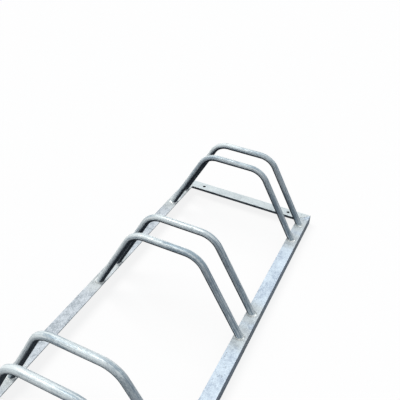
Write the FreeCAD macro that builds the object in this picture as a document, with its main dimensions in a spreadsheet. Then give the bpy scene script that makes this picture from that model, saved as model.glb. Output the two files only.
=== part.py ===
"""Floor bike rack: three places on a welded, hot-dip galvanised steel frame.

Two rails and two end cross angles make a flat rectangle of mitred equal angle. Bent tube hoops
stand on the rails in pairs, one pair to a place, and the slot between the two is kept clear.

Frame of the part: +X runs along the rails, the front, which is the way in, is at -Y, +Z is up.
The origin is on the floor, at the middle of the rack.
"""
import FreeCAD, Part
import math
import os
import Sketcher

V = FreeCAD.Vector

# ---------------------------------------------------------------- driving dimensions (mm, degrees)
SIZES = [
    # frame
    ("rack_depth", 390.0, "over the outer faces of the two rails"),
    ("angle_leg", 30.0, "width of each flange of the equal angle"),
    ("angle_wall", 3.0, "thickness of the flanges"),
    ("root_radius", 4.0, "fillet inside the angle"),
    ("toe_radius", 1.5, "rounding of each flange's inner tip"),
    ("end_margin", 55.0, "from the last hoop's centre to the end of the rack"),
    ("fixing_hole_bore", 9.0, "floor bolt hole"),
    ("fixing_hole_spacing", 266.0, "between the two holes of a cross angle"),
    # places
    ("place_pitch", 350.0, "from one place to the next"),
    ("pair_spacing", 70.0, "between the two hoops of a place, centre to centre"),
    # hoops
    ("tube_diameter", 16.0, "outside"),
    ("tube_wall", 2.0, "thickness"),
    ("foot_offset", 2.0, "from the middle of the rail's flange in to the foot's centre"),
    ("hoop_rise", 185.0, "from the rails' top to the centre of the top run"),
    ("leg_lean", 29.0, "degrees from upright, towards the middle"),
    ("bend_radius", 50.0, "of the tube's centre line"),
    ("vent_bore", 8.0, "hole in the rail under each foot, for the zinc bath"),
    # welds
    ("foot_weld_leg", 3.0, "fillet weld round each foot"),
    ("corner_weld_radius", 1.8, "of the bead along each mitre"),
    ("corner_weld_depth", 1.0, "from the faces down to the bead's centre"),
]
PLACES = 3

start = {alias: value for alias, value, _ in SIZES}  # the same sizes as plain numbers, to draw at

doc = FreeCAD.newDocument("bike_rack")
sheet = doc.addObject("Spreadsheet::Sheet", "dims")
for row, (alias, value, note) in enumerate(SIZES, start=1):
    sheet.set(f"A{row}", alias)
    sheet.set(f"B{row}", str(value))
    sheet.set(f"C{row}", note)
    sheet.setAlias(f"B{row}", alias)
doc.recompute()

# Lengths that several pieces share, as formulas on the sheet's cells
RACK_LENGTH = f"({PLACES - 1} * dims.place_pitch + dims.pair_spacing + 2 * dims.end_margin)"
LEAN = "(dims.leg_lean * 1 deg)"
TUBE_RADIUS = "(dims.tube_diameter / 2)"
FOOT = "((dims.rack_depth - dims.angle_leg) / 2 - dims.foot_offset)"  # from the middle to a foot
foot_start = (start["rack_depth"] - start["angle_leg"]) / 2 - start["foot_offset"]

parts = []


# ---------------------------------------------------------------- helpers
def bind(target, **formulas):
    """Bind properties of an object to formulas; a double underscore stands for a dot."""
    for name, formula in formulas.items():
        target.setExpression(name.replace("__", "."), formula)


def origin_plane(body, role):
    """One of a body's own planes: XY_Plane, XZ_Plane or YZ_Plane."""
    return next(feature for feature in body.Origin.OriginFeatures if feature.Role == role)


def new_body(name):
    body = doc.addObject("PartDesign::Body", name)
    body.Label = name
    parts.append(body)
    return body


def new_sketch(body, name, role):
    sketch = body.newObject("Sketcher::SketchObject", name)
    sketch.AttachmentSupport = [(origin_plane(body, role), "")]
    sketch.MapMode = "FlatFace"
    return sketch


def draw_outline(sketch, corners):
    """Draw a closed outline of straight edges through the corners, joined end to end."""
    following = corners[1:] + corners[:1]
    edges = [sketch.addGeometry(Part.LineSegment(a, b)) for a, b in zip(corners, following)]
    for edge, next_edge in zip(edges, edges[1:] + edges[:1]):
        sketch.addConstraint(Sketcher.Constraint("Coincident", edge, 2, next_edge, 1))
    return edges


def size_constraint(sketch, name, formula, *definition):
    """Add a dimension to a sketch, named and bound to a formula."""
    index = sketch.addConstraint(Sketcher.Constraint(*definition))
    sketch.renameConstraint(index, name)
    sketch.setExpression(f"Constraints.{name}", formula)


def cut_away(body, name, sketch, upwards, height=None):
    """Cut a sketch out of a body, all through or to a height, and see that it took material."""
    doc.recompute()
    before = body.Shape.Volume
    pocket = body.newObject("PartDesign::Pocket", name)
    pocket.Profile = sketch
    pocket.Reversed = upwards
    if height:
        bind(pocket, Length=height)
    else:
        pocket.Type = "ThroughAll"
    doc.recompute()
    if not body.Shape.Volume < before:
        raise RuntimeError(f"{name} cut nothing from {body.Label}")


def add_holes(body, name, bore, places):
    """Drill round holes down through the top flange, at (x, y) formulas in the body's frame."""
    sketch = new_sketch(body, f"{name}_sketch", "XY_Plane")
    for number, (x_formula, y_formula, x_start, y_start) in enumerate(places, start=1):
        centre = V(x_start, y_start, 0)
        hole = sketch.addGeometry(Part.Circle(centre, V(0, 0, 1), start[bore] / 2))
        size_constraint(sketch, f"x_{number}", x_formula, "DistanceX", -1, 1, hole, 3, x_start)
        size_constraint(sketch, f"y_{number}", y_formula, "DistanceY", -1, 1, hole, 3, y_start)
        size_constraint(sketch, f"bore_{number}", f"dims.{bore}", "Diameter", hole, start[bore])
    cut_away(body, name, sketch, upwards=True)


# ---------------------------------------------------------------- mitred angle: rails and ends
def draw_angle_section(sketch):
    """The equal angle's section: heel at the top left, root fillet and two rounded toes."""
    leg, wall = start["angle_leg"], start["angle_wall"]
    root, toe = start["root_radius"], start["toe_radius"]
    up, quarter = V(0, 0, 1), math.pi / 2

    def line(y0, z0, y1, z1):
        return sketch.addGeometry(Part.LineSegment(V(y0, z0, 0), V(y1, z1, 0)))

    def arc(y, z, radius, first_angle):
        circle = Part.Circle(V(y, z, 0), up, radius)
        return sketch.addGeometry(Part.ArcOfCircle(circle, first_angle, first_angle + quarter))

    outer = line(0, 0, 0, leg)
    top = line(0, leg, leg, leg)
    top_tip = line(leg, leg, leg, leg - wall + toe)
    top_toe = arc(leg - toe, leg - wall + toe, toe, -quarter)
    under = line(leg - toe, leg - wall, wall + root, leg - wall)
    fillet = arc(wall + root, leg - wall - root, root, quarter)
    inner = line(wall, leg - wall - root, wall, toe)
    low_toe = arc(wall - toe, toe, toe, -quarter)
    foot = line(wall - toe, 0, 0, 0)

    add = sketch.addConstraint
    for kind, edges in (("Vertical", (outer, top_tip, inner)), ("Horizontal", (top, under, foot))):
        for edge in edges:
            add(Sketcher.Constraint(kind, edge))
    add(Sketcher.Constraint("Coincident", outer, 1, -1, 1))
    for first, second in ((outer, top), (top, top_tip), (foot, outer)):
        add(Sketcher.Constraint("Coincident", first, 2, second, 1))
    for edge, edge_end, curve, curve_end in (
        (top_tip, 2, top_toe, 2),
        (under, 1, top_toe, 1),
        (under, 2, fillet, 1),
        (inner, 1, fillet, 2),
        (inner, 2, low_toe, 2),
        (foot, 1, low_toe, 1),
    ):
        add(Sketcher.Constraint("Tangent", edge, edge_end, curve, curve_end))
    size_constraint(sketch, "outer_leg", "dims.angle_leg", "DistanceY", outer, 1, outer, 2, leg)
    size_constraint(sketch, "top_leg", "dims.angle_leg", "DistanceX", top, 1, top, 2, leg)
    size_constraint(sketch, "outer_wall", "dims.angle_wall", "DistanceX", outer, 1, inner, 2, wall)
    size_constraint(sketch, "top_wall", "dims.angle_wall", "DistanceY", under, 2, top, 1, wall)
    size_constraint(sketch, "root", "dims.root_radius", "Radius", fillet, root)
    size_constraint(sketch, "toe_a", "dims.toe_radius", "Radius", top_toe, toe)
    size_constraint(sketch, "toe_b", "dims.toe_radius", "Radius", low_toe, toe)


def cut_mitres(body, length, length_start):
    """Saw both ends at 45 degrees, so that the outer face keeps the full length."""
    sketch = new_sketch(body, "mitre_sketch", "XY_Plane")
    overrun = 1.5  # how far each cut reaches, in widths of the flange that it crosses
    reach = overrun * start["angle_leg"]
    for end, side in (("low", -1), ("high", 1)):
        tip = side * length_start / 2
        corners = [V(tip, 0, 0), V(tip, reach, 0), V(tip - side * reach, reach, 0)]
        edges = draw_outline(sketch, corners)
        sketch.addConstraint(Sketcher.Constraint("Vertical", edges[0]))
        sketch.addConstraint(Sketcher.Constraint("Horizontal", edges[1]))
        sketch.addConstraint(Sketcher.Constraint("PointOnObject", edges[0], 1, -1))
        sketch.addConstraint(Sketcher.Constraint("Equal", edges[0], edges[1]))
        place = ("DistanceX", -1, 1, edges[0], 1, tip)
        size_constraint(sketch, f"{end}_tip", f"{side} * {length} / 2", *place)
        depth = ("DistanceY", edges[0], 1, edges[0], 2, reach)
        size_constraint(sketch, f"{end}_reach", f"{overrun} * dims.angle_leg", *depth)
    cut_away(body, "mitres", sketch, upwards=True)


def make_angle(name, length, turn, x_formula, y_formula):
    """A mitred length of angle: it runs along its own X, its outer face is its Y = 0 plane."""
    body = new_body(name)
    section = new_sketch(body, "section", "YZ_Plane")
    draw_angle_section(section)
    pad = body.newObject("PartDesign::Pad", "bar")
    pad.Profile = section
    pad.Midplane = True
    bind(pad, Length=length)
    doc.recompute()
    cut_mitres(body, length, pad.Length.Value)
    body.Placement = FreeCAD.Placement(V(0, 0, 0), FreeCAD.Rotation(V(0, 0, 1), turn))
    bind(body, Placement__Base__x=x_formula, Placement__Base__y=y_formula)
    return body


def hoop_station(place, side):
    """Where a hoop stands along the rack: its formula, and its value to draw at."""
    from_middle = place - (PLACES - 1) / 2
    formula = f"({from_middle} * dims.place_pitch + {side} * dims.pair_spacing / 2)"
    return formula, from_middle * start["place_pitch"] + side * start["pair_spacing"] / 2


hoops = [
    (f"{place + 1}_{hand}", *hoop_station(place, side))
    for place in range(PLACES)
    for hand, side in (("left", -1), ("right", 1))
]

# The rails: under every hoop foot a vent opens the tube to the underside of the flange.
foot_inset = "(dims.angle_leg / 2 + dims.foot_offset)"
foot_inset_start = start["angle_leg"] / 2 + start["foot_offset"]
for where, turn, side in (("front", 0, -1), ("rear", 180, 1)):
    rail = make_angle(f"{where}_rail", RACK_LENGTH, turn, "0", f"{side} * dims.rack_depth / 2")
    vents = [
        (f"{-side} * {station}", foot_inset, -side * x_start, foot_inset_start)
        for _, station, x_start in hoops
    ]
    add_holes(rail, "vents", "vent_bore", vents)

# The end angles: each has two floor bolt holes, centred on the flange.
for where, turn, side in (("left", -90, -1), ("right", 90, 1)):
    x_formula = f"{side} * {RACK_LENGTH} / 2"
    end = make_angle(f"{where}_end_angle", "dims.rack_depth", turn, x_formula, "0")
    bolts = [
        (
            f"{hand} * dims.fixing_hole_spacing / 2",
            "dims.angle_leg / 2",
            hand * start["fixing_hole_spacing"] / 2,
            start["angle_leg"] / 2,
        )
        for hand in (-1, 1)
    ]
    add_holes(end, "fixing_holes", "fixing_hole_bore", bolts)


# ---------------------------------------------------------------- bent tube hoops
def draw_half_hoop(sketch):
    """Half of the tube's centre line: crown, bend, and a leg that runs on below the rail's top."""
    rise, radius, stub = start["hoop_rise"], start["bend_radius"], start["tube_diameter"]
    foot, lean = foot_start, math.radians(start["leg_lean"])
    corner = foot - rise * math.tan(lean)
    crown_end = corner - radius * math.tan((math.pi / 2 - lean) / 2)
    centre = V(crown_end, rise - radius, 0)
    bend_low = centre + V(math.cos(lean), math.sin(lean), 0) * radius
    leg_end = V(foot + stub * math.tan(lean), -stub, 0)

    crown = sketch.addGeometry(Part.LineSegment(V(0, rise, 0), V(crown_end, rise, 0)))
    circle = Part.Circle(centre, V(0, 0, 1), radius)
    bend = sketch.addGeometry(Part.ArcOfCircle(circle, lean, math.pi / 2))
    leg = sketch.addGeometry(Part.LineSegment(leg_end, bend_low))
    seat = sketch.addGeometry(Part.Point(V(foot, 0, 0)), True)

    add = sketch.addConstraint
    add(Sketcher.Constraint("Horizontal", crown))
    add(Sketcher.Constraint("PointOnObject", crown, 1, -2))
    add(Sketcher.Constraint("Tangent", crown, 2, bend, 2))
    add(Sketcher.Constraint("Tangent", leg, 2, bend, 1))
    add(Sketcher.Constraint("PointOnObject", seat, 1, -1))
    add(Sketcher.Constraint("PointOnObject", seat, 1, leg))
    size_constraint(sketch, "rise", "dims.hoop_rise", "DistanceY", -1, 1, crown, 1, rise)
    size_constraint(sketch, "foot", FOOT, "DistanceX", -1, 1, seat, 1, foot)
    size_constraint(sketch, "bend", "dims.bend_radius", "Radius", bend, radius)
    size_constraint(sketch, "lean", f"90 deg + {LEAN}", "Angle", leg, math.pi / 2 + lean)
    size_constraint(sketch, "stub", "dims.tube_diameter", "DistanceY", leg, 1, -1, 1, stub)


def make_hoop(name, station):
    """A tube bent to a trapezoid and sawn level where it stands on the rails (its own Z = 0)."""
    body = new_body(f"hoop_{name}")
    path = new_sketch(body, "centre_line", "YZ_Plane")
    draw_half_hoop(path)

    ring = new_sketch(body, "tube_section", "XZ_Plane")
    for number, (label, wall) in enumerate((("outside", ""), ("bore", " - 2 * dims.tube_wall"))):
        diameter = start["tube_diameter"] - 2 * number * start["tube_wall"]
        circle = Part.Circle(V(0, start["hoop_rise"], 0), V(0, 0, 1), diameter / 2)
        edge = ring.addGeometry(circle)
        ring.addConstraint(Sketcher.Constraint("PointOnObject", edge, 3, -2))
        height = ("DistanceY", -1, 1, edge, 3, start["hoop_rise"])
        size_constraint(ring, f"{label}_rise", "dims.hoop_rise", *height)
        size_constraint(ring, label, f"dims.tube_diameter{wall}", "Diameter", edge, diameter)
    doc.recompute()

    half = body.newObject("PartDesign::AdditivePipe", "half_hoop")
    half.Profile = ring
    half.Spine = (path, [f"Edge{number}" for number in range(1, len(path.Shape.Edges) + 1)])
    doc.recompute()
    whole = body.newObject("PartDesign::Mirrored", "whole_hoop")
    whole.Originals = [half]
    whole.MirrorPlane = (origin_plane(body, "XZ_Plane"), [""])
    body.Tip = whole

    saw = new_sketch(body, "saw_sketch", "XY_Plane")
    half_width, half_length = start["tube_diameter"], start["rack_depth"]
    signs = ((-1, -1), (1, -1), (1, 1), (-1, 1))
    edges = draw_outline(saw, [V(x * half_width, y * half_length, 0) for x, y in signs])
    for edge, kind in zip(edges, ("Horizontal", "Vertical", "Horizontal", "Vertical")):
        saw.addConstraint(Sketcher.Constraint(kind, edge))
    saw.addConstraint(Sketcher.Constraint("Symmetric", edges[0], 1, edges[1], 2, -1, 1))
    width = ("DistanceX", edges[0], 1, edges[0], 2, 2 * half_width)
    length = ("DistanceY", edges[1], 1, edges[1], 2, 2 * half_length)
    size_constraint(saw, "width", "2 * dims.tube_diameter", *width)
    size_constraint(saw, "length", "2 * dims.rack_depth", *length)
    cut_away(body, "level_feet", saw, upwards=False)
    bind(body, Placement__Base__x=station, Placement__Base__z="dims.angle_leg")


for name, station, _ in hoops:
    make_hoop(name, station)


# ---------------------------------------------------------------- welds
def make_foot_weld(name, station, side):
    """A convex fillet weld round one foot: a skirt from the rail's top up the leg, less the tube."""
    rings = []
    for height, spread in ((0, 1.0), (0.6, 0.62), (1.0, 0.12)):  # shares of the weld's leg
        ring = doc.addObject("Part::Ellipse", "weld_ring")
        ring.Placement = FreeCAD.Placement(V(0, 0, 0), FreeCAD.Rotation(V(0, 0, 1), 90))
        climb = f"{height} * dims.foot_weld_leg"
        swell = f"{spread} * dims.foot_weld_leg"
        bind(
            ring,
            MajorRadius=f"{TUBE_RADIUS} / cos({LEAN}) + {swell}",
            MinorRadius=f"{TUBE_RADIUS} + {swell}",
            Placement__Base__x=station,
            Placement__Base__y=f"{side} * ({FOOT} - {climb} * tan({LEAN}))",
            Placement__Base__z=f"dims.angle_leg + {climb}",
        )
        rings.append(ring)
    skirt = doc.addObject("Part::Loft", "weld_skirt")
    skirt.Sections = rings
    skirt.Solid = True
    skirt.Ruled = True

    leg = doc.addObject("Part::Cylinder", "weld_bore")
    leg.Placement = FreeCAD.Placement(V(0, 0, 0), FreeCAD.Rotation(V(side, 0, 0), start["leg_lean"]))
    bind(
        leg,
        Radius=TUBE_RADIUS,
        Height="3 * dims.tube_diameter",
        Placement__Rotation__Angle=LEAN,
        Placement__Base__x=station,
        Placement__Base__y=f"{side} * ({FOOT} + dims.tube_diameter * sin({LEAN}))",
        Placement__Base__z=f"dims.angle_leg - dims.tube_diameter * cos({LEAN})",
    )
    weld = doc.addObject("Part::Cut", name)
    weld.Label = name
    weld.Base = skirt
    weld.Tool = leg
    parts.append(weld)


for name, station, _ in hoops:
    for where, side in (("front", -1), ("rear", 1)):
        make_foot_weld(f"foot_weld_{name}_{where}", station, side)


def make_corner_weld(name, x_side, y_side):
    """A low bead along the mitre, over the corner and down the outer edge.

    Its own frame stands on the floor under the rack's corner, with X pointing straight out.
    The bead is sunk into the steel, and only what stands proud of the corner is kept.
    """
    body = new_body(name)
    top, sunk = start["angle_leg"], start["corner_weld_depth"]
    radius, diagonal = start["corner_weld_radius"], math.sqrt(2)
    level, low = top - sunk, 2 * radius
    inner = V(-(top - 2 * radius) * diagonal, level, 0)
    elbow = V(-sunk * diagonal, level, 0)

    path = new_sketch(body, "bead_line", "XZ_Plane")
    along = path.addGeometry(Part.LineSegment(inner, elbow))
    down = path.addGeometry(Part.LineSegment(elbow, V(elbow.x, low, 0)))
    path.addConstraint(Sketcher.Constraint("Coincident", along, 2, down, 1))
    path.addConstraint(Sketcher.Constraint("Horizontal", along))
    path.addConstraint(Sketcher.Constraint("Vertical", down))
    reach = "(dims.angle_leg - 2 * dims.corner_weld_radius) * sqrt(2)"
    height = "dims.angle_leg - dims.corner_weld_depth"
    size_constraint(path, "reach", reach, "DistanceX", along, 1, -1, 1, -inner.x)
    size_constraint(path, "level", height, "DistanceY", -1, 1, along, 1, level)
    inset = ("DistanceX", along, 2, -1, 1, -elbow.x)
    size_constraint(path, "inset", "dims.corner_weld_depth * sqrt(2)", *inset)
    clear = ("DistanceY", -1, 1, down, 2, low)
    size_constraint(path, "off_floor", "2 * dims.corner_weld_radius", *clear)

    section = new_sketch(body, "bead_section", "XY_Plane")
    ring = section.addGeometry(Part.Circle(V(elbow.x, 0, 0), V(0, 0, 1), radius))
    section.addConstraint(Sketcher.Constraint("PointOnObject", ring, 3, -1))
    inset = ("DistanceX", ring, 3, -1, 1, -elbow.x)
    size_constraint(section, "inset", "dims.corner_weld_depth * sqrt(2)", *inset)
    size_constraint(section, "bead", "dims.corner_weld_radius", "Radius", ring, radius)
    section.AttachmentOffset = FreeCAD.Placement(V(0, 0, low), FreeCAD.Rotation())
    bind(section, AttachmentOffset__Base__z="2 * dims.corner_weld_radius")
    doc.recompute()

    bead = body.newObject("PartDesign::AdditivePipe", "bead")
    bead.Profile = section
    bead.Spine = (path, ["Edge2", "Edge1"])
    bead.Transition = "Round corner"
    doc.recompute()

    steel = new_sketch(body, "steel_plan", "XY_Plane")
    side = 2 * top  # a square on its point, larger than the flanges that it stands for
    corners = [V(0, 0, 0), V(-side, side, 0), V(-2 * side, 0, 0), V(-side, -side, 0)]
    edges = draw_outline(steel, corners)
    steel.addConstraint(Sketcher.Constraint("Coincident", edges[0], 1, -1, 1))
    steel.addConstraint(Sketcher.Constraint("PointOnObject", edges[2], 1, -1))
    steel.addConstraint(Sketcher.Constraint("Perpendicular", edges[0], edges[1]))
    steel.addConstraint(Sketcher.Constraint("Perpendicular", edges[1], edges[2]))
    steel.addConstraint(Sketcher.Constraint("Equal", edges[0], edges[1]))
    size = ("DistanceX", edges[2], 1, -1, 1, 2 * side)
    size_constraint(steel, "diagonal", "4 * dims.angle_leg", *size)
    cut_away(body, "proud_part", steel, upwards=True, height="dims.angle_leg")

    turn = math.degrees(math.atan2(y_side, x_side))
    body.Placement = FreeCAD.Placement(V(0, 0, 0), FreeCAD.Rotation(V(0, 0, 1), turn))
    bind(
        body,
        Placement__Base__x=f"{x_side} * {RACK_LENGTH} / 2",
        Placement__Base__y=f"{y_side} * dims.rack_depth / 2",
    )


for y_name, y_side in (("front", -1), ("rear", 1)):
    for x_name, x_side in (("left", -1), ("right", 1)):
        make_corner_weld(f"corner_weld_{y_name}_{x_name}", x_side, y_side)

# ---------------------------------------------------------------- checks and export
doc.recompute()
for item in doc.Objects:
    if "Invalid" in item.State or "Error" in item.State:
        raise RuntimeError(f"{item.Label} failed: {item.State}")
for part in parts:
    shape = part.Shape
    if shape.isNull() or not shape.isValid() or len(shape.Solids) != 1:
        raise RuntimeError(f"{part.Label} is not one valid solid")

os.makedirs("parts", exist_ok=True)
for part in parts:
    part.Shape.exportStep(f"parts/{part.Label}.step")
    print(f"{part.Label}: {part.Shape.Volume:.1f} mm3")
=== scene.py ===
import math

import bmesh
import bpy
from mathutils import Matrix, Vector, noise


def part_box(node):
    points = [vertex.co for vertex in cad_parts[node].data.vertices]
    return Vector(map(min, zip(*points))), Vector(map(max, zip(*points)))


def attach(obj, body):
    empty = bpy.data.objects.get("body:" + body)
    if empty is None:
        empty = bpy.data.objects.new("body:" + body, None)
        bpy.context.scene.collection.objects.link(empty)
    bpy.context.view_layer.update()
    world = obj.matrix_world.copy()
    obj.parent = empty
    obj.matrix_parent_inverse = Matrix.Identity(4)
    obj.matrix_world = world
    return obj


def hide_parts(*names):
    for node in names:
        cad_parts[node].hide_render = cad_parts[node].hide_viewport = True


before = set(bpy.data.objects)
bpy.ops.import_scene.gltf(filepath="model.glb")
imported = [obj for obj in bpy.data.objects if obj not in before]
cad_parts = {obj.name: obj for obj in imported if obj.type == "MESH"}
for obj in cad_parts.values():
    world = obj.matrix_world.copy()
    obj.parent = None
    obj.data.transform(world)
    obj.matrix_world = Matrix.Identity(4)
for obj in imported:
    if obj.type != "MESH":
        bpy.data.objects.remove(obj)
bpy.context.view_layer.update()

# ---------------------------------------------------------------- camera
# The viewpoint looks down along the rack from its left end, a little to the front of it.
# Its place and turn were worked out from the outline of the tubes and rails, in a square picture.
camera_place = Vector((-0.69571, -0.39481, 0.90244))
looking_along = Vector((0.763693, 0.309157, -0.566741))
picture_right = Vector((0.409007, -0.910918, 0.054237))
picture_up = picture_right.cross(looking_along)
focal_length_px, centre_x_px, centre_y_px, picture_px = 502.71, 227.49, 182.01, 400

camera = bpy.data.objects.new("camera", bpy.data.cameras.new("camera"))
bpy.context.scene.collection.objects.link(camera)
turn = Matrix((picture_right, picture_up, -looking_along)).transposed()
camera.matrix_world = Matrix.Translation(camera_place) @ turn.to_4x4()
camera.data.sensor_width = 36.0
camera.data.lens = focal_length_px / picture_px * camera.data.sensor_width
camera.data.shift_x = 0.5 - centre_x_px / picture_px
camera.data.shift_y = centre_y_px / picture_px - 0.5
camera.data.clip_start, camera.data.clip_end = 0.05, 60.0
bpy.context.scene.camera = camera

# ---------------------------------------------------------------- floor
# A wide sheet of white studio paper, lit mostly from behind, so that the rack's shadow on it
# stays faint. The light that it throws back up on the steel is that of a duller ground.
floor_half_width, floor_drop = 12.0, 0.0001
paper_shaded, paper_glow, ground_grey = 0.12, 0.87, 0.03


def new_object(name, shape):
    """Turn a bmesh into an object of the scene, and free the bmesh."""
    mesh = bpy.data.meshes.new(name)
    shape.to_mesh(mesh)
    shape.free()
    thing = bpy.data.objects.new(name, mesh)
    bpy.context.scene.collection.objects.link(thing)
    return thing


def seen_or_mirrored(nodes, links):
    """A value of 1 for what the eye, a reflection or a glass sees, and 0 for scattered light."""
    path = nodes.new("ShaderNodeLightPath")
    value = path.outputs["Is Camera Ray"]
    for ray in ("Is Glossy Ray", "Is Transmission Ray"):
        larger = nodes.new("ShaderNodeMath")
        larger.operation = "MAXIMUM"
        links.new(value, larger.inputs[0])
        links.new(path.outputs[ray], larger.inputs[1])
        value = larger.outputs[0]
    return value


def grey(level):
    return (level, level, level, 1.0)


def choose_colour(nodes, links, scattered, seen):
    """A colour that differs between scattered light and what is seen or mirrored."""
    choice = nodes.new("ShaderNodeMix")
    choice.data_type = "RGBA"
    links.new(seen_or_mirrored(nodes, links), choice.inputs["Factor"])
    choice.inputs["A"].default_value = scattered
    choice.inputs["B"].default_value = seen
    return choice.outputs["Result"]


sheet = bmesh.new()
bmesh.ops.create_grid(sheet, x_segments=1, y_segments=1, size=floor_half_width)
bmesh.ops.translate(sheet, verts=sheet.verts, vec=(0, 0, -floor_drop))
floor = new_object("floor", sheet)

paper = bpy.data.materials.new("studio_paper")
paper.use_nodes = True
nodes, links = paper.node_tree.nodes, paper.node_tree.links
shader = nodes["Principled BSDF"]
shader.inputs["Roughness"].default_value = 1.0
shader.inputs["Specular IOR Level"].default_value = 0.0
shader.inputs["Emission Strength"].default_value = 1.0
paper_colour = choose_colour(nodes, links, grey(ground_grey), grey(paper_shaded))
links.new(paper_colour, shader.inputs["Base Color"])
links.new(choose_colour(nodes, links, grey(0), grey(paper_glow)), shader.inputs["Emission Color"])
floor.data.materials.append(paper)

# ---------------------------------------------------------------- light
# A wide soft lamp, high on the rear side, leaves the front sides in shade, and a weak one in
# front rounds them a little. The dome is white where it is seen or mirrored, and for scattered
# light a faint blue, which fills the shade as a sky does.
dome_fill, dome_seen = (0.16, 0.19, 0.235, 1), grey(1.0)
lamps = (
    ("rear_lamp", 2.66, 40, (1.03, 1.0, 0.96), Vector((0.0, 0.42, 0.907))),
    ("front_lamp", 0.40, 60, (0.96, 1.0, 1.04), Vector((0.50, -0.75, 0.43))),
)

world = bpy.data.worlds.new("studio")
bpy.context.scene.world = world
world.use_nodes = True
nodes, links = world.node_tree.nodes, world.node_tree.links
links.new(choose_colour(nodes, links, dome_fill, dome_seen), nodes["Background"].inputs["Color"])

for name, power, degrees_wide, colour, comes_from in lamps:
    lamp = bpy.data.objects.new(name, bpy.data.lights.new(name, "SUN"))
    bpy.context.scene.collection.objects.link(lamp)
    lamp.data.energy, lamp.data.angle, lamp.data.color = power, math.radians(degrees_wide), colour
    lamp.rotation_mode = "QUATERNION"
    lamp.rotation_quaternion = comes_from.to_track_quat("Z", "Y")

# ---------------------------------------------------------------- frame: rails and end angles
# Four lengths of hot-rolled equal angle, sawn at 45 degrees and welded into a flat rectangle.
# The top flange lies flat for the hoops, the other hangs down outside and stands on the floor.
# Holes are drilled before the zinc bath: vents under the hoop feet, floor bolt holes in the ends.
MM = 0.001
rail_low, rail_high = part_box("front_rail")
end_low, end_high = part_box("left_end_angle")
flange = rail_high.z
rack_length = rail_high.x - rail_low.x
rack_depth = end_high.y - end_low.y
angle_wall = 3 * MM
heel_round, root_round, toe_round, tip_round = 0.7 * MM, 4 * MM, 1.5 * MM, 0.35 * MM
round_steps, hole_sides = 6, 40
vent_bore, bolt_bore, bolt_spacing = 8 * MM, 9 * MM, 266 * MM
place_pitch, pair_spacing, foot_from_outside = 350 * MM, 70 * MM, 17 * MM
zinc_edge, sharp_edge = 0.25 * MM, 40  # the zinc rounds each edge sharper than this, in degrees

hoop_names = [f"hoop_{place}_{hand}" for place in (1, 2, 3) for hand in ("left", "right")]
hoop_stations = [sum(corner.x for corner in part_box(name)) / 2 for name in hoop_names]


def keep_modifiers(piece):
    """Make what the modifiers show the piece's own mesh."""
    bpy.context.view_layer.update()
    graph = bpy.context.evaluated_depsgraph_get()
    mesh = bpy.data.meshes.new_from_object(piece.evaluated_get(graph), depsgraph=graph)
    piece.modifiers.clear()
    piece.data = mesh


def cut_away(piece, cutter):
    """Take the cutter's volume out of a piece, and throw the cutter away."""
    cut = piece.modifiers.new("cut", "BOOLEAN")
    cut.object, cut.operation, cut.solver = cutter, "DIFFERENCE", "EXACT"
    keep_modifiers(piece)
    bpy.data.objects.remove(cutter)


def smooth(piece, sharpest):
    """Shade a piece smoothly, except over edges sharper than an angle in degrees."""
    piece.data.polygons.foreach_set("use_smooth", [True] * len(piece.data.polygons))
    piece.data.set_sharp_from_angle(angle=math.radians(sharpest))


def hand_in(piece, node, coat):
    """Let a finished piece stand for its node on the rack's one body, with its coat of zinc."""
    piece.data.materials.clear()
    piece.data.materials.append(coat)
    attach(piece, "root")
    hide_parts(node)


def mitred_angle(name, length, bore, holes, place):
    """A length of angle along X, its outer face on Y = 0, with round holes in the top flange."""
    shape = bmesh.new()
    overlong = length / 2 + flange
    outline = (
        (0, 0, tip_round),
        (0, flange, heel_round),
        (flange, flange, tip_round),
        (flange, flange - angle_wall, toe_round),
        (angle_wall, flange - angle_wall, root_round),
        (angle_wall, 0, toe_round),
    )
    corners = [shape.verts.new((-overlong, y, z)) for y, z, _ in outline]
    shape.faces.new(corners)
    for corner, (_, _, radius) in zip(corners, outline):
        bmesh.ops.bevel(
            shape, geom=[corner], offset=radius, offset_type="OFFSET", affect="VERTICES",
            segments=round_steps, profile=0.5, material=-1, clamp_overlap=True,
        )
    grown = bmesh.ops.extrude_face_region(shape, geom=shape.faces[:])
    moved = [item for item in grown["geom"] if isinstance(item, bmesh.types.BMVert)]
    bmesh.ops.translate(shape, verts=moved, vec=(2 * overlong, 0, 0))
    for side in (-1, 1):
        sawn = bmesh.ops.bisect_plane(
            shape, geom=shape.verts[:] + shape.edges[:] + shape.faces[:],
            plane_co=(side * length / 2, 0, 0), plane_no=(side, 1, 0), clear_outer=True,
        )
        rim = [item for item in sawn["geom_cut"] if isinstance(item, bmesh.types.BMEdge)]
        bmesh.ops.holes_fill(shape, edges=rim)
    bmesh.ops.recalc_face_normals(shape, faces=shape.faces)
    piece = new_object(name, shape)

    drill = bmesh.new()
    for x, y in holes:
        bmesh.ops.create_cone(
            drill, cap_ends=True, segments=hole_sides, radius1=bore / 2, radius2=bore / 2,
            depth=flange, matrix=Matrix.Translation((x, y, flange)),
        )
    cut_away(piece, new_object("drill", drill))

    softened = piece.modifiers.new("zinc_edge", "BEVEL")
    softened.width, softened.segments = zinc_edge, 2
    softened.limit_method, softened.angle_limit = "ANGLE", math.radians(sharp_edge)
    smooth(piece, sharpest=60)
    even = piece.modifiers.new("flat_faces", "WEIGHTED_NORMAL")
    even.keep_sharp = True
    piece.data.transform(place)
    keep_modifiers(piece)
    return piece


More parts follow.
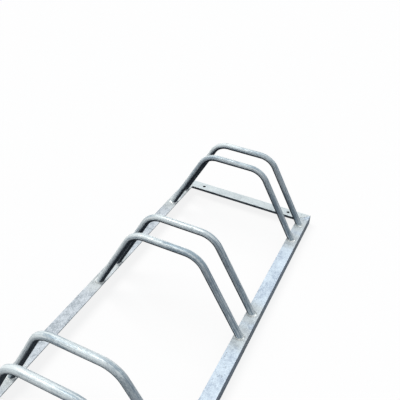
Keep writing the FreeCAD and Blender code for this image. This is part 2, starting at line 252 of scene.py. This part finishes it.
def new_group(name, inputs, outputs):
    """A shader node group; gives it, what comes into it and what goes out of it, by name."""
    group = bpy.data.node_groups.new(name, "ShaderNodeTree")
    for socket, kind, start in inputs:
        made = group.interface.new_socket(socket, in_out="INPUT", socket_type=f"NodeSocket{kind}")
        if start is not None:
            made.default_value = start
    for socket in outputs:
        group.interface.new_socket(socket, in_out="OUTPUT", socket_type="NodeSocketFloat")
    way_in, way_out = group.nodes.new("NodeGroupInput"), group.nodes.new("NodeGroupOutput")
    return group, way_in.outputs, way_out.inputs


def feed(tree, socket, value):
    """Set a socket to a number or a colour, or link another socket into it."""
    if isinstance(value, (int, float, tuple)):
        socket.default_value = value
    else:
        tree.links.new(value, socket)


def calculate(tree, operation, *values, clamp=False):
    """A Math node on numbers or sockets; gives its result."""
    node = tree.nodes.new("ShaderNodeMath")
    node.operation, node.use_clamp = operation, clamp
    for socket, value in zip(node.inputs, values):
        feed(tree, socket, value)
    return node.outputs[0]


def between(tree, value, low, high, out_low=0.0, out_high=1.0):
    """A smooth step of a value, from one pair of numbers or sockets to another."""
    node = tree.nodes.new("ShaderNodeMapRange")
    node.interpolation_type = "SMOOTHSTEP"
    for socket, number in zip(node.inputs, (value, low, high, out_low, out_high)):
        feed(tree, socket, number)
    return node.outputs["Result"]


def cloud(tree, place, size, detail, roughness=0.55):
    """Noise with features of a given size, in metres (a number or a socket)."""
    node = tree.nodes.new("ShaderNodeTexNoise")
    tree.links.new(place, node.inputs["Vector"])
    node.inputs["Detail"].default_value = detail
    node.inputs["Roughness"].default_value = roughness
    scale = 1 / size if isinstance(size, float) else calculate(tree, "DIVIDE", 1.0, size)
    feed(tree, node.inputs["Scale"], scale)
    return node


# The spangle: zinc freezes in crystals, each a little lighter or darker than the next.
# The patterns in it are sized in crystals, and its relief is part facet and part grain.
warp_crystals, grain_crystals, mottle_crystals, patch_crystals = 1.6, 0.6, 2.4, 11.0
facet_relief, grain_relief = 0.35, 0.65
spangle, given, gives = new_group(
    "zinc_spangle",
    [("Place", "Vector", None), ("Crystal", "Float", 5 * MM)],
    ["Facet", "Mottle", "Grain", "Patch", "Height"],
)
warp_size = calculate(spangle, "MULTIPLY", given["Crystal"], warp_crystals)
warp = cloud(spangle, given["Place"], warp_size, detail=2.0)
shift = spangle.nodes.new("ShaderNodeVectorMath")
shift.operation = "MULTIPLY_ADD"
spangle.links.new(warp.outputs["Color"], shift.inputs[0])
reach = spangle.nodes.new("ShaderNodeCombineXYZ")
for axis in reach.inputs:
    spangle.links.new(given["Crystal"], axis)
spangle.links.new(reach.outputs[0], shift.inputs[1])
spangle.links.new(given["Place"], shift.inputs[2])
crystals = spangle.nodes.new("ShaderNodeTexVoronoi")
spangle.links.new(shift.outputs[0], crystals.inputs["Vector"])
spangle.links.new(calculate(spangle, "DIVIDE", 1.0, given["Crystal"]), crystals.inputs["Scale"])
tints = spangle.nodes.new("ShaderNodeSeparateColor")
spangle.links.new(crystals.outputs["Color"], tints.inputs["Color"])
grain_size = calculate(spangle, "MULTIPLY", given["Crystal"], grain_crystals)
grain = cloud(spangle, given["Place"], grain_size, detail=3.0, roughness=0.65).outputs["Fac"]
mottle_size = calculate(spangle, "MULTIPLY", given["Crystal"], mottle_crystals)
mottle = cloud(spangle, given["Place"], mottle_size, detail=5.0, roughness=0.68).outputs["Fac"]
patch_size = calculate(spangle, "MULTIPLY", given["Crystal"], patch_crystals)
patches = cloud(spangle, given["Place"], patch_size, detail=2.0).outputs["Fac"]
spangle.links.new(tints.outputs["Red"], gives["Facet"])
spangle.links.new(between(spangle, mottle, low=0.36, high=0.64), gives["Mottle"])
spangle.links.new(between(spangle, patches, low=0.40, high=0.60), gives["Patch"])
spangle.links.new(between(spangle, grain, low=0.38, high=0.62), gives["Grain"])
facet_step = calculate(spangle, "MULTIPLY", tints.outputs["Green"], facet_relief)
spangle.links.new(
    calculate(spangle, "MULTIPLY_ADD", grain, grain_relief, facet_step), gives["Height"]
)

# Small dark pits, in loose clusters nine pits wide, where ash or dross touched the zinc.
cluster_width = 9.0
pits, given, gives = new_group(
    "dross_pits", [("Place", "Vector", None), ("Size", "Float", 2 * MM)], ["Pits"]
)
specks = cloud(pits, given["Place"], given["Size"], detail=1.0, roughness=0.4).outputs["Fac"]
cluster_size = calculate(pits, "MULTIPLY", given["Size"], cluster_width)
clusters = cloud(pits, given["Place"], cluster_size, detail=2.0).outputs["Fac"]
dark = between(pits, specks, low=0.62, high=0.70)
in_cluster = between(pits, clusters, low=0.48, high=0.66)
pits.links.new(calculate(pits, "MULTIPLY", dark, in_cluster), gives["Pits"])

# The heat of a foot weld leaves the zinc round it greyer, in a ragged round patch. The rack is
# folded place on place, left on right and rear on front, so that one patch serves every foot.
heat_core, heat_end, heat_ragged, rag_size = 30 * MM, 62 * MM, 26 * MM, 7 * MM
heat, given, gives = new_group(
    "weld_heat",
    [
        ("Place", "Vector", None), ("Pitch", "Float", 1.0),
        ("Half Pair", "Float", 0.0), ("Foot Line", "Float", 0.0),
    ],
    ["Heat"],
)
apart = heat.nodes.new("ShaderNodeSeparateXYZ")
heat.links.new(given["Place"], apart.inputs[0])
half_pitch = calculate(heat, "MULTIPLY", given["Pitch"], 0.5)
half_back = calculate(heat, "MULTIPLY", given["Pitch"], -0.5)
folded = calculate(heat, "WRAP", apart.outputs["X"], half_pitch, half_back)
along = calculate(heat, "SUBTRACT", calculate(heat, "ABSOLUTE", folded), given["Half Pair"])
from_middle = calculate(heat, "ABSOLUTE", apart.outputs["Y"])
across = calculate(heat, "SUBTRACT", from_middle, given["Foot Line"])
across_squared = calculate(heat, "MULTIPLY", across, across)
from_foot = calculate(heat, "SQRT", calculate(heat, "MULTIPLY_ADD", along, along, across_squared))
rags = cloud(heat, given["Place"], rag_size, detail=4.0, roughness=0.65).outputs["Fac"]
distance = calculate(heat, "MULTIPLY_ADD", rags, heat_ragged, from_foot)
stain = between(heat, distance, heat_core, heat_end, out_low=1.0, out_high=0.0)
heat.links.new(stain, gives["Heat"])

# Painted shade: a share that darkens the sides and undersides by where they face, standing in for
# the shade that they lie in, with a slightly wavy edge to the darkened part.
wavy_edge = 0.05
side_shade_group, given, gives = new_group(
    "painted_side_shade",
    [("Wavy", "Float", 0.5), ("Bright Above", "Float", 0.5), ("Dull Below", "Float", -0.1)],
    ["Dull"],
)
facing = side_shade_group.nodes.new("ShaderNodeNewGeometry")
upward = side_shade_group.nodes.new("ShaderNodeSeparateXYZ")
side_shade_group.links.new(facing.outputs["Normal"], upward.inputs[0])
waver = calculate(side_shade_group, "MULTIPLY_ADD", given["Wavy"], wavy_edge, -wavy_edge / 2)
height = calculate(side_shade_group, "ADD", upward.outputs["Z"], waver)
shade_share = between(side_shade_group, height, low=given["Bright Above"], high=given["Dull Below"])
side_shade_group.links.new(shade_share, gives["Dull"])

# What the coats share: how much the crystals stand out, outside and inside a whiter patch, the
# streaks of a drawn tube, how dark the painted shade on sides and undersides, the pits and the
# painted shade in a weld's valleys are, and what roughens a surface or takes its metal shine.
lively, lively_in_patch = 1.15, 0.60
streak_squeeze, streak_width = 0.02, 4.2 * MM
painted_shade_depth, valley_shade_grey, crest_middle = 0.72, 0.25, 0.6
pit_size, pit_share, pit_grey, pit_depth = 2.6 * MM, 0.55, 0.28, 0.6
grain_roughness, shaded_side_roughness, shaded_side_metal_loss = 0.16, 0.5, 0.9
relief_depth = 0.25 * MM


def zinc_coat(name, pale, deep, painted_shade_colour, crystal, shares, shade_from, shade_to,
              roughness, metallic, wave, whiter=0.35, coordinates=None, drawn_out=1.0,
              paler=None, heated=None, valley_shade_strength=0.0, gloss=0.15, edge_tint=1.0):
    """A coat of hot-dip zinc: spangle between two tints, pits, painted shade on sides, fine relief.
    """
    coat = bpy.data.materials.new(name)
    coat.use_nodes = True
    tree = coat.node_tree
    shader = tree.nodes["Principled BSDF"]
    shader.inputs["Specular IOR Level"].default_value = gloss
    shader.inputs["Specular Tint"].default_value = grey(edge_tint)
    if coordinates:
        source = tree.nodes.new("ShaderNodeAttribute")
        source.attribute_name = coordinates
        true_place = source.outputs["Vector"]
    else:
        true_place = tree.nodes.new("ShaderNodeTexCoord").outputs["Object"]

    def squeezed(factor):
        node = tree.nodes.new("ShaderNodeVectorMath")
        node.operation = "MULTIPLY"
        tree.links.new(true_place, node.inputs[0])
        node.inputs[1].default_value = (factor, 1, 1)
        return node.outputs[0]

    place = squeezed(1 / drawn_out)

    def placed(group, **values):
        node = tree.nodes.new("ShaderNodeGroup")
        node.node_tree = group
        if "Place" in node.inputs:
            tree.links.new(place, node.inputs["Place"])
        for socket, value in values.items():
            node.inputs[socket.replace("_", " ")].default_value = value
        return node

    def blend(kind, share, first, second):
        node = tree.nodes.new("ShaderNodeMix")
        node.data_type, node.blend_type = "RGBA", kind
        for socket, value in (("Factor", share), ("A", first), ("B", second)):
            feed(tree, node.inputs[socket], value)
        return node.outputs["Result"]

    crystals = placed(spangle, Crystal=crystal)
    sources = {part: crystals.outputs[part] for part in ("Facet", "Mottle", "Grain")}
    if "Streak" in shares:
        runs = cloud(tree, squeezed(streak_squeeze), streak_width, detail=2.0).outputs["Fac"]
        sources["Streak"] = between(tree, runs, low=0.43, high=0.57)
    tone = -sum(shares.values()) / 2
    for part, share in shares.items():
        tone = calculate(tree, "MULTIPLY_ADD", sources[part], share, tone)
    # in the whiter patches of the coat the crystals stand out less
    white_patch = crystals.outputs["Patch"]
    calmer = lively_in_patch - lively
    liveliness = calculate(tree, "MULTIPLY_ADD", white_patch, calmer, lively)
    whiteness = calculate(tree, "MULTIPLY_ADD", white_patch, whiter, 0.5 - whiter / 2)
    # paler: whiteness added along the tube; the rearward row is painted light and shade
    if paler:
        lengthwise = tree.nodes.new("ShaderNodeSeparateXYZ")
        tree.links.new(true_place, lengthwise.inputs[0])
        from_middle = calculate(tree, "ABSOLUTE", lengthwise.outputs["X"])
        for where, (start, end, less, more) in zip((lengthwise.outputs["X"], from_middle), paler):
            lighter = between(tree, where, start, end, less, more)
            whiteness = calculate(tree, "ADD", whiteness, lighter)
    # painted highlight: a weld's ripple crests and its lump are made whiter by the crest value
    if valley_shade_strength:
        crest = tree.nodes.new("ShaderNodeAttribute")
        crest.attribute_name = "crest"
        crest_highlight = calculate(tree, "SUBTRACT", crest.outputs["Fac"], crest_middle)
        whiteness = calculate(tree, "ADD", whiteness, crest_highlight)
    tone = calculate(tree, "MULTIPLY_ADD", tone, liveliness, whiteness, clamp=True)
    colour = blend("MIX", tone, deep, pale)
    if heated:
        patch = placed(
            heat, Pitch=heated["pitch"], Half_Pair=heated["half_pair"], Foot_Line=heated["foot_line"]
        )
        weaker = calculate(tree, "MULTIPLY", patch.outputs["Heat"], heated["share"])
        stained = blend("MIX", tone, heated["deep"], heated["pale"])
        colour = blend("MIX", weaker, colour, stained)
    # painted shade: sides and undersides turn to the dark side colour by where they face
    side = placed(side_shade_group, Bright_Above=shade_from, Dull_Below=shade_to)
    tree.links.new(crystals.outputs["Mottle"], side.inputs["Wavy"])
    painted_shade_deep = tuple(painted_shade_depth * channel for channel in painted_shade_colour[:3]) + (1.0,)
    colour = blend("MIX", side.outputs["Dull"], colour, blend("MIX", tone, painted_shade_deep, painted_shade_colour))
    spots = placed(pits, Size=pit_size)
    spotted = calculate(tree, "MULTIPLY", spots.outputs["Pits"], pit_share)
    colour = blend("MULTIPLY", spotted, colour, grey(pit_grey))
    # painted shade: the valleys between a weld's ripples are made darker by the crest value
    if valley_shade_strength:
        valley_shade = calculate(tree, "MULTIPLY_ADD", crest.outputs["Fac"], -valley_shade_strength, valley_shade_strength, clamp=True)
        colour = blend("MULTIPLY", valley_shade, colour, grey(valley_shade_grey))
    tree.links.new(colour, shader.inputs["Base Color"])

    smoothest = roughness - grain_roughness / 2
    grainy = calculate(tree, "MULTIPLY_ADD", crystals.outputs["Grain"], grain_roughness, smoothest)
    # the painted-shade sides are also made rougher, and lose most of their metal shine
    rough = calculate(tree, "MULTIPLY_ADD", side.outputs["Dull"], shaded_side_roughness, grainy)
    tree.links.new(rough, shader.inputs["Roughness"])
    shine = calculate(tree, "MULTIPLY_ADD", crystals.outputs["Facet"], metallic, metallic / 2)
    bright = calculate(tree, "MULTIPLY_ADD", side.outputs["Dull"], -shaded_side_metal_loss, 1.0)
    tree.links.new(calculate(tree, "MULTIPLY", shine, bright), shader.inputs["Metallic"])

    relief = tree.nodes.new("ShaderNodeBump")
    relief.inputs["Strength"].default_value = wave
    relief.inputs["Distance"].default_value = relief_depth
    hollow = calculate(tree, "MULTIPLY", spots.outputs["Pits"], -pit_depth)
    uneven = calculate(tree, "ADD", crystals.outputs["Height"], hollow)
    tree.links.new(uneven, relief.inputs["Height"])
    tree.links.new(relief.outputs["Normal"], shader.inputs["Normal"])
    return coat


# The angles' dark side colour is painted shade on the hanging flanges and the undersides.
angle_finish = {
    "painted_shade_colour": (0.20, 0.23, 0.26, 1), "crystal": 3.2 * MM,
    "shares": {"Facet": 0.25, "Mottle": 0.40, "Grain": 0.45}, "whiter": 0.40,
    "shade_from": 0.3, "shade_to": -0.3, "roughness": 0.48, "metallic": 0.03, "wave": 0.35,
    "heated": {
        "pitch": place_pitch, "half_pair": pair_spacing / 2,
        "foot_line": rack_depth / 2 - foot_from_outside,
        "share": 0.75, "deep": (0.48, 0.52, 0.52, 1), "pale": (0.70, 0.75, 0.75, 1),
    },
}
angle_tints = (
    ("zinc_blue_white", (0.79, 0.91, 1.0, 1), (0.45, 0.54, 0.65, 1)),
    ("zinc_grey_white", (0.75, 0.81, 0.86, 1), (0.36, 0.41, 0.45, 1)),
    ("zinc_even_white", (0.79, 0.86, 0.87, 1), (0.60, 0.67, 0.69, 1)),
)
blue_coat, grey_coat, even_coat = (
    zinc_coat(name, pale, deep, **angle_finish) for name, pale, deep in angle_tints
)
vents = [(station, foot_from_outside) for station in hoop_stations]
bolts = [(side * bolt_spacing / 2, flange / 2) for side in (-1, 1)]
angles = (
    ("front_rail", rack_length, vent_bore, vents, 0, (0, -rack_depth / 2, 0), blue_coat),
    ("rear_rail", rack_length, vent_bore, vents, 180, (0, rack_depth / 2, 0), grey_coat),
    ("left_end_angle", rack_depth, bolt_bore, bolts, -90, (-rack_length / 2, 0, 0), even_coat),
    ("right_end_angle", rack_depth, bolt_bore, bolts, 90, (rack_length / 2, 0, 0), even_coat),
)
for node, length, bore, holes, degrees, corner, coat in angles:
    place = Matrix.Translation(corner) @ Matrix.Rotation(math.radians(degrees), 4, "Z")
    piece = mitred_angle(f"{node}_zinc", length, bore, holes, place)
    hand_in(piece, node, coat)

# ---------------------------------------------------------------- hoops
# Six round steel tubes, each bent twice on a mandrel and sawn level at both feet.
# They stand on the rails in pairs, one pair to a place, over the vents that drain them.
hoop_low, hoop_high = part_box("hoop_1_left")
tube_radius = (hoop_high.x - hoop_low.x) / 2
tube_wall, bend_radius, leg_lean = 2 * MM, 50 * MM, math.radians(29)
foot_level = flange
crown_level = hoop_high.z - tube_radius
foot_centre = hoop_high.y - tube_radius / math.cos(leg_lean)
bend_turn = math.pi / 2 - leg_lean
corner_y = foot_centre - (crown_level - foot_level) * math.tan(leg_lean)
crown_end = corner_y - bend_radius * math.tan(bend_turn / 2)
bend_centre = crown_level - bend_radius
leg_run = (bend_centre + bend_radius * math.sin(leg_lean) - foot_level) / math.cos(leg_lean)
half_tube = crown_end + bend_radius * bend_turn + leg_run
tube_sides, crown_steps, bend_steps, leg_steps = 48, 24, 20, 30
flattening = 0.035  # of the tube's radius, at the middle of a bend
one_point = 0.01 * MM  # points that lie closer than this are the same one


def unbend(point, station):
    """Where a point of a hoop lies on its straight tube: along it, across it, and out of it."""
    y, z, side = abs(point.y), point.z, math.copysign(1, point.y)
    beyond, above = y - crown_end, z - bend_centre
    turned = math.atan2(beyond, above)
    if y <= crown_end:
        along, out = y, z - crown_level
    elif turned <= bend_turn:
        along, out = crown_end + bend_radius * turned, math.hypot(beyond, above) - bend_radius
    else:
        out = beyond * math.sin(bend_turn) + above * math.cos(bend_turn) - bend_radius
        down = beyond * math.cos(bend_turn) - above * math.sin(bend_turn)
        along = crown_end + bend_radius * bend_turn + down
    return Vector((side * along, point.x - station, out))


def sweep_ring(shape, radius, station):
    """Draw one wall of the tube, ring by ring, along the whole hoop."""
    circle = bmesh.ops.create_circle(shape, cap_ends=False, radius=radius, segments=tube_sides)
    ring = circle["verts"]
    edges = list({edge for vert in ring for edge in vert.link_edges})
    start = Matrix.Translation((station, -crown_end, crown_level))
    upright = Matrix.Rotation(math.pi / 2, 4, "X")
    bmesh.ops.transform(shape, matrix=start @ upright, verts=ring)

    def run_on(edges, vector, steps):
        for _ in range(steps):
            grown = bmesh.ops.extrude_edge_only(shape, edges=edges)["geom"]
            moved = [item for item in grown if isinstance(item, bmesh.types.BMVert)]
            bmesh.ops.translate(shape, verts=moved, vec=vector / steps)
            edges = [item for item in grown if isinstance(item, bmesh.types.BMEdge)]
            edges = [edge for edge in edges if all(vert in moved for vert in edge.verts)]
        return edges

    def bend(edges, side):
        turned = bmesh.ops.spin(
            shape, geom=edges, cent=(station, side * crown_end, bend_centre), axis=(-side, 0, 0),
            angle=bend_turn, steps=bend_steps, dvec=(0, 0, 0),
        )["geom_last"]
        return [item for item in turned if isinstance(item, bmesh.types.BMEdge)]

    far_ring = run_on(edges, Vector((0, 2 * crown_end, 0)), crown_steps)
    for side, rim in ((1, far_ring), (-1, edges)):
        down = Vector((0, side * math.sin(leg_lean), -math.cos(leg_lean)))
        near_foot = run_on(bend(rim, side), down * (leg_run - tube_radius), leg_steps)
        # the last stretch has no ring in it, so the saw meets both walls at matching points
        run_on(near_foot, down * 2 * tube_radius, 1)


def bent_hoop(name, station):
    """A tube with two walls, bent, a little flattened in its bends, and sawn level at its feet."""
    shape = bmesh.new()
    for radius in (tube_radius, tube_radius - tube_wall):
        sweep_ring(shape, radius, station)
    bmesh.ops.remove_doubles(shape, verts=shape.verts, dist=one_point)
    sawn = bmesh.ops.bisect_plane(
        shape, geom=shape.verts[:] + shape.edges[:] + shape.faces[:],
        plane_co=(0, 0, foot_level), plane_no=(0, 0, -1), clear_outer=True,
    )
    rim = [item for item in sawn["geom_cut"] if isinstance(item, bmesh.types.BMEdge)]
    narrower = (tube_radius - tube_wall) / tube_radius
    for side in (-1, 1):
        # the sawn end: the outer rim is drawn in until it meets the inner one
        centre = Vector((station, side * foot_centre, foot_level))
        outer = []
        for edge in rim:
            off = edge.verts[0].co - centre
            from_axis = math.hypot(off.x, off.y * math.cos(leg_lean))
            if tube_radius - tube_wall / 2 < from_axis < 2 * tube_radius:
                outer.append(edge)
        grown = bmesh.ops.extrude_edge_only(shape, edges=outer)["geom"]
        moved = [item for item in grown if isinstance(item, bmesh.types.BMVert)]
        about = Matrix.Translation(-centre)
        bmesh.ops.scale(shape, vec=(narrower, narrower, 1), space=about, verts=moved)
    bmesh.ops.remove_doubles(shape, verts=shape.verts, dist=one_point)
    bmesh.ops.recalc_face_normals(shape, faces=shape.faces)

    straight = shape.verts.layers.float_vector.new("unbent")
    bend_length = bend_radius * bend_turn
    for vert in shape.verts:
        lies = unbend(vert.co, station)
        vert[straight] = lies + Vector((0, station, 0))  # no two hoops are spangled alike
        share = (abs(lies.x) - crown_end) / bend_length
        if 0 < share < 1:
            squeeze = flattening * math.sin(math.pi * share) * lies.z
            middle_y = math.copysign(crown_end, vert.co.y)
            outward = Vector((0, vert.co.y - middle_y, vert.co.z - bend_centre))
            vert.co -= outward.normalized() * squeeze
    piece = new_object(name, shape)
    smooth(piece, sharpest=50)
    return piece


# A tube is painted paler towards the rear and darker towards the front, as light from the rear,
# and paler again at both feet. Each row says from where to where along it, and how much is added
# to its whiteness at either end of that.
painted_light_to_rear = (-140 * MM, 140 * MM, -0.20, 0.42)
paler_at_feet = (half_tube - 30 * MM, half_tube - 4 * MM, 0.0, 0.40)
# The tube's near-black side colour is painted shade on its sides and undersides.
tube_coat = zinc_coat(
    "galvanised_tube", pale=(0.81, 0.88, 0.89, 1), deep=(0.36, 0.45, 0.51, 1),
    painted_shade_colour=(0.13, 0.15, 0.17, 1), crystal=2.6 * MM,
    shares={"Facet": 0.15, "Mottle": 0.30, "Grain": 0.30, "Streak": 0.90},
    shade_from=0.02, shade_to=-0.20, roughness=0.36, metallic=0.10, wave=0.35,
    coordinates="unbent", drawn_out=3.0, gloss=0.05, edge_tint=0.2,
    paler=(painted_light_to_rear, paler_at_feet),
)
for node, station in zip(hoop_names, hoop_stations):
    piece = bent_hoop(f"{node}_zinc", station)
    hand_in(piece, node, tube_coat)

# ---------------------------------------------------------------- welds at the hoop feet
# A fillet weld runs once round each foot, from the rail's top up on to the tube.
# The arc leaves it rippled, with a lump where it starts and stops, and the zinc softens it.
fillet_leg, fillet_rows, fillet_sides, fullness = 3 * MM, 8, 240, 0.85
ripples, ripple_height, ripple_slant = 30, 0.34 * MM, 1.2
swell_height, swell_share, swells_per_metre = 0.85 * MM, 0.6, 180
lump_share, lump_half_angle, lump_wander = 1.5, 0.30, 1.5  # times the swell, then in radians
ripple_middle, plain_crest = 0.6, 0.7
flat_rim, thin_rim = 0.02, 0.1 * MM  # the rims stay plain: a share of the leg, and off the tube
along_seed, side_seed, start_seed = 40, 3.7, 0.5  # these only set one foot apart from another


def fillet_ring(name, station, side):
    """A convex, rippled fillet round one foot, closed against the rail and the tube."""
    shape = bmesh.new()
    lean = math.tan(leg_lean)
    rings = []
    for row in range(fillet_rows + 1):
        climb = row / fillet_rows
        spread = fillet_leg * (1 - climb) ** fullness
        rings.append((climb * fillet_leg, spread))
    # then down inside along the tube, and out along the rail to where it began
    rings.extend([(0, 0), (0, fillet_leg)])
    edges, last = None, None
    for climb, spread in rings:
        wide, deep = tube_radius + spread, tube_radius / math.cos(leg_lean) + spread
        if edges is None:
            circle = bmesh.ops.create_circle(shape, cap_ends=False, radius=1, segments=fillet_sides)
            ring = circle["verts"]
            edges = list({edge for vert in ring for edge in vert.link_edges})
        else:
            grown = bmesh.ops.extrude_edge_only(shape, edges=edges)["geom"]
            ring = [item for item in grown if isinstance(item, bmesh.types.BMVert)]
            edges = [
                item for item in grown
                if isinstance(item, bmesh.types.BMEdge) and all(vert in ring for vert in item.verts)
            ]
            last_wide, last_deep, last_climb = last
            back = Matrix.Translation((0, last_climb * lean, -last_climb))
            flat = Matrix.Diagonal((1 / last_wide, 1 / last_deep, 1, 1))
            bmesh.ops.transform(shape, matrix=flat @ back, verts=ring)
        grow = Matrix.Diagonal((wide, deep, 1, 1))
        raise_to = Matrix.Translation((0, -climb * lean, climb))
        bmesh.ops.transform(shape, matrix=raise_to @ grow, verts=ring)
        last = wide, deep, climb
    bmesh.ops.remove_doubles(shape, verts=shape.verts, dist=one_point)

    # the crest value paints the ripple crests and the lump lighter, and the valleys darker, in the
    # coat
    crest = shape.verts.layers.float.new("crest")
    own_start = noise.noise(Vector((station * along_seed, side * side_seed, start_seed)))
    started = math.pi / 2 + lump_wander * own_start
    for vert in shape.verts:
        climb = vert.co.z / fillet_leg
        foot = Vector((vert.co.x, vert.co.y + vert.co.z * lean, 0))
        proud = foot.length - tube_radius
        vert[crest] = plain_crest
        if not flat_rim < climb < 1 - flat_rim or proud < thin_rim:
            continue
        around = math.atan2(foot.y, foot.x)
        belly = math.sin(math.pi * climb)
        wave = abs(math.sin(ripples * around / 2 + ripple_slant * climb)) - ripple_middle
        spot = Vector((foot.x, foot.y, station)) * swells_per_metre
        swell = noise.noise(spot + Vector((side, 0, 0)))
        apart = (around - started + math.pi) % (2 * math.pi) - math.pi
        lump = math.exp(-((apart / lump_half_angle) ** 2))
        grow = ripple_height * wave + swell_height * (swell_share * swell + lump_share * lump)
        vert[crest] += belly * (min(1, wave + ripple_middle + lump) - plain_crest)
        vert.co += foot.normalized() * grow * belly
    bmesh.ops.recalc_face_normals(shape, faces=shape.faces)
    upright = Matrix.Translation((station, side * foot_centre, foot_level))
    turned = Matrix.Rotation(0 if side > 0 else math.pi, 4, "Z")
    bmesh.ops.transform(shape, matrix=upright @ turned, verts=shape.verts)
    piece = new_object(name, shape)
    smooth(piece, sharpest=55)
    return piece


# The weld's dark side colour is painted shade on its sides and undersides.
weld_coat = zinc_coat(
    "galvanised_weld", pale=(0.92, 0.96, 0.96, 1), deep=(0.42, 0.47, 0.47, 1),
    painted_shade_colour=(0.30, 0.33, 0.34, 1), crystal=2.2 * MM,
    shares={"Facet": 0.2, "Mottle": 0.5, "Grain": 0.5},
    shade_from=0.0, shade_to=-0.6, roughness=0.30, metallic=0.50, wave=0.6, whiter=0.6,
    valley_shade_strength=0.7,
)
for name, station in zip(hoop_names, hoop_stations):
    for where, side in (("front", -1), ("rear", 1)):
        node = f"foot_weld_{name.removeprefix('hoop_')}_{where}"
        piece = fillet_ring(f"{node}_zinc", station, side)
        hand_in(piece, node, weld_coat)

# ---------------------------------------------------------------- welds at the frame's corners
# One low bead closes each mitre: along the joint on top, over the corner and down its edge.
# It is laid before the zinc bath, and only what stands proud of the steel shows.
bead_radius, bead_sunk, bead_grain, bead_sides = 1.8 * MM, 1.0 * MM, 0.28 * MM, 32
bead_pitch, bead_ripple, bead_slant = 2.1 * MM, 0.10 * MM, 900  # the slant in radians a metre
bead_swell, bead_swells_per_metre = 0.9, 160
x_seed, y_seed = 5, 9  # these only set one corner apart from another
block_below, slivers = 10 * MM, 0.02 * MM


def corner_bead(name, x_side, y_side):
    """A rippled bead round one corner, less the steel that it is sunk in."""
    level, elbow = flange - bead_sunk, -bead_sunk * math.sqrt(2)
    inner = -(flange - 2 * bead_radius) * math.sqrt(2)
    shape = bmesh.new()
    runs = (
        ((inner + elbow) / 2, level, elbow - inner, "Y"),
        (elbow, (level + 2 * bead_radius) / 2, level - 2 * bead_radius, None),
    )
    for x, z, length, axis in runs:
        lie = Matrix.Translation((x, 0, z))
        if axis:
            lie = lie @ Matrix.Rotation(math.pi / 2, 4, axis)
        bmesh.ops.create_cone(
            shape, cap_ends=True, segments=bead_sides, radius1=bead_radius, radius2=bead_radius,
            depth=length, matrix=lie,
        )
    for x, z in ((inner, level), (elbow, level), (elbow, 2 * bead_radius)):
        bmesh.ops.create_uvsphere(
            shape, u_segments=bead_sides, v_segments=bead_sides // 2, radius=bead_radius,
            matrix=Matrix.Translation((x, 0, z)),
        )
    piece = new_object(name, shape)
    melt = piece.modifiers.new("one_bead", "REMESH")
    melt.mode, melt.voxel_size = "VOXEL", bead_grain
    keep_modifiers(piece)

    # the crest value paints the bead's ripple crests lighter and its valleys darker, in the coat
    crest = piece.data.attributes.new("crest", "FLOAT", "POINT").data
    for vert, height in zip(piece.data.vertices, crest):
        x, y, z = vert.co
        on_top = z - level > x - elbow
        along = x - inner if on_top else elbow - inner + level - z
        axis = Vector((min(x, elbow), 0, level)) if on_top else Vector((elbow, 0, min(z, level)))
        ridge = math.sin(math.pi * along / bead_pitch + abs(y) * bead_slant)
        wave = abs(ridge) - ripple_middle
        spot = Vector((along * bead_swells_per_metre, x_side * x_seed, y_side * y_seed))
        swell = noise.noise(spot)
        height.value = wave + ripple_middle
        grow = bead_ripple * (wave + bead_swell * swell) - bead_ripple
        vert.co += (vert.co - axis).normalized() * grow

    # a block fills the corner of the frame, and its faces are the steel's where the bead lies
    steel = bmesh.new()
    bmesh.ops.create_cube(steel, size=1.0)
    block_width, block_height = 3 * flange, flange + block_below
    bmesh.ops.scale(steel, verts=steel.verts, vec=(block_width, block_width, block_height))
    middle = (-block_width / 2, -block_width / 2, (flange - block_below) / 2)
    bmesh.ops.translate(steel, verts=steel.verts, vec=middle)
    bmesh.ops.rotate(steel, verts=steel.verts, matrix=Matrix.Rotation(-math.pi / 4, 3, "Z"))
    cut_away(piece, new_object("steel", steel))

    # the cut leaves slivers and needless points on its rim
    trimmed = bmesh.new()
    trimmed.from_mesh(piece.data)
    bmesh.ops.dissolve_degenerate(trimmed, dist=slivers, edges=trimmed.edges)
    loose_points = [vert for vert in trimmed.verts if len(vert.link_edges) == 2]
    bmesh.ops.dissolve_verts(trimmed, verts=loose_points)
    bmesh.ops.triangulate(trimmed, faces=trimmed.faces)
    trimmed.to_mesh(piece.data)
    trimmed.free()

    place = Matrix.Translation((x_side * rack_length / 2, y_side * rack_depth / 2, 0))
    turn = Matrix.Rotation(math.atan2(y_side, x_side), 4, "Z")
    piece.data.transform(place @ turn)
    smooth(piece, sharpest=50)
    return piece


for y_name, y_side in (("front", -1), ("rear", 1)):
    for x_name, x_side in (("left", -1), ("right", 1)):
        node = f"corner_weld_{y_name}_{x_name}"
        piece = corner_bead(f"{node}_zinc", x_side, y_side)
        hand_in(piece, node, weld_coat)

# ---------------------------------------------------------------- picture
# The colours are shown as they are set, with no film curve over them.
bpy.context.scene.view_settings.view_transform = "Standard"
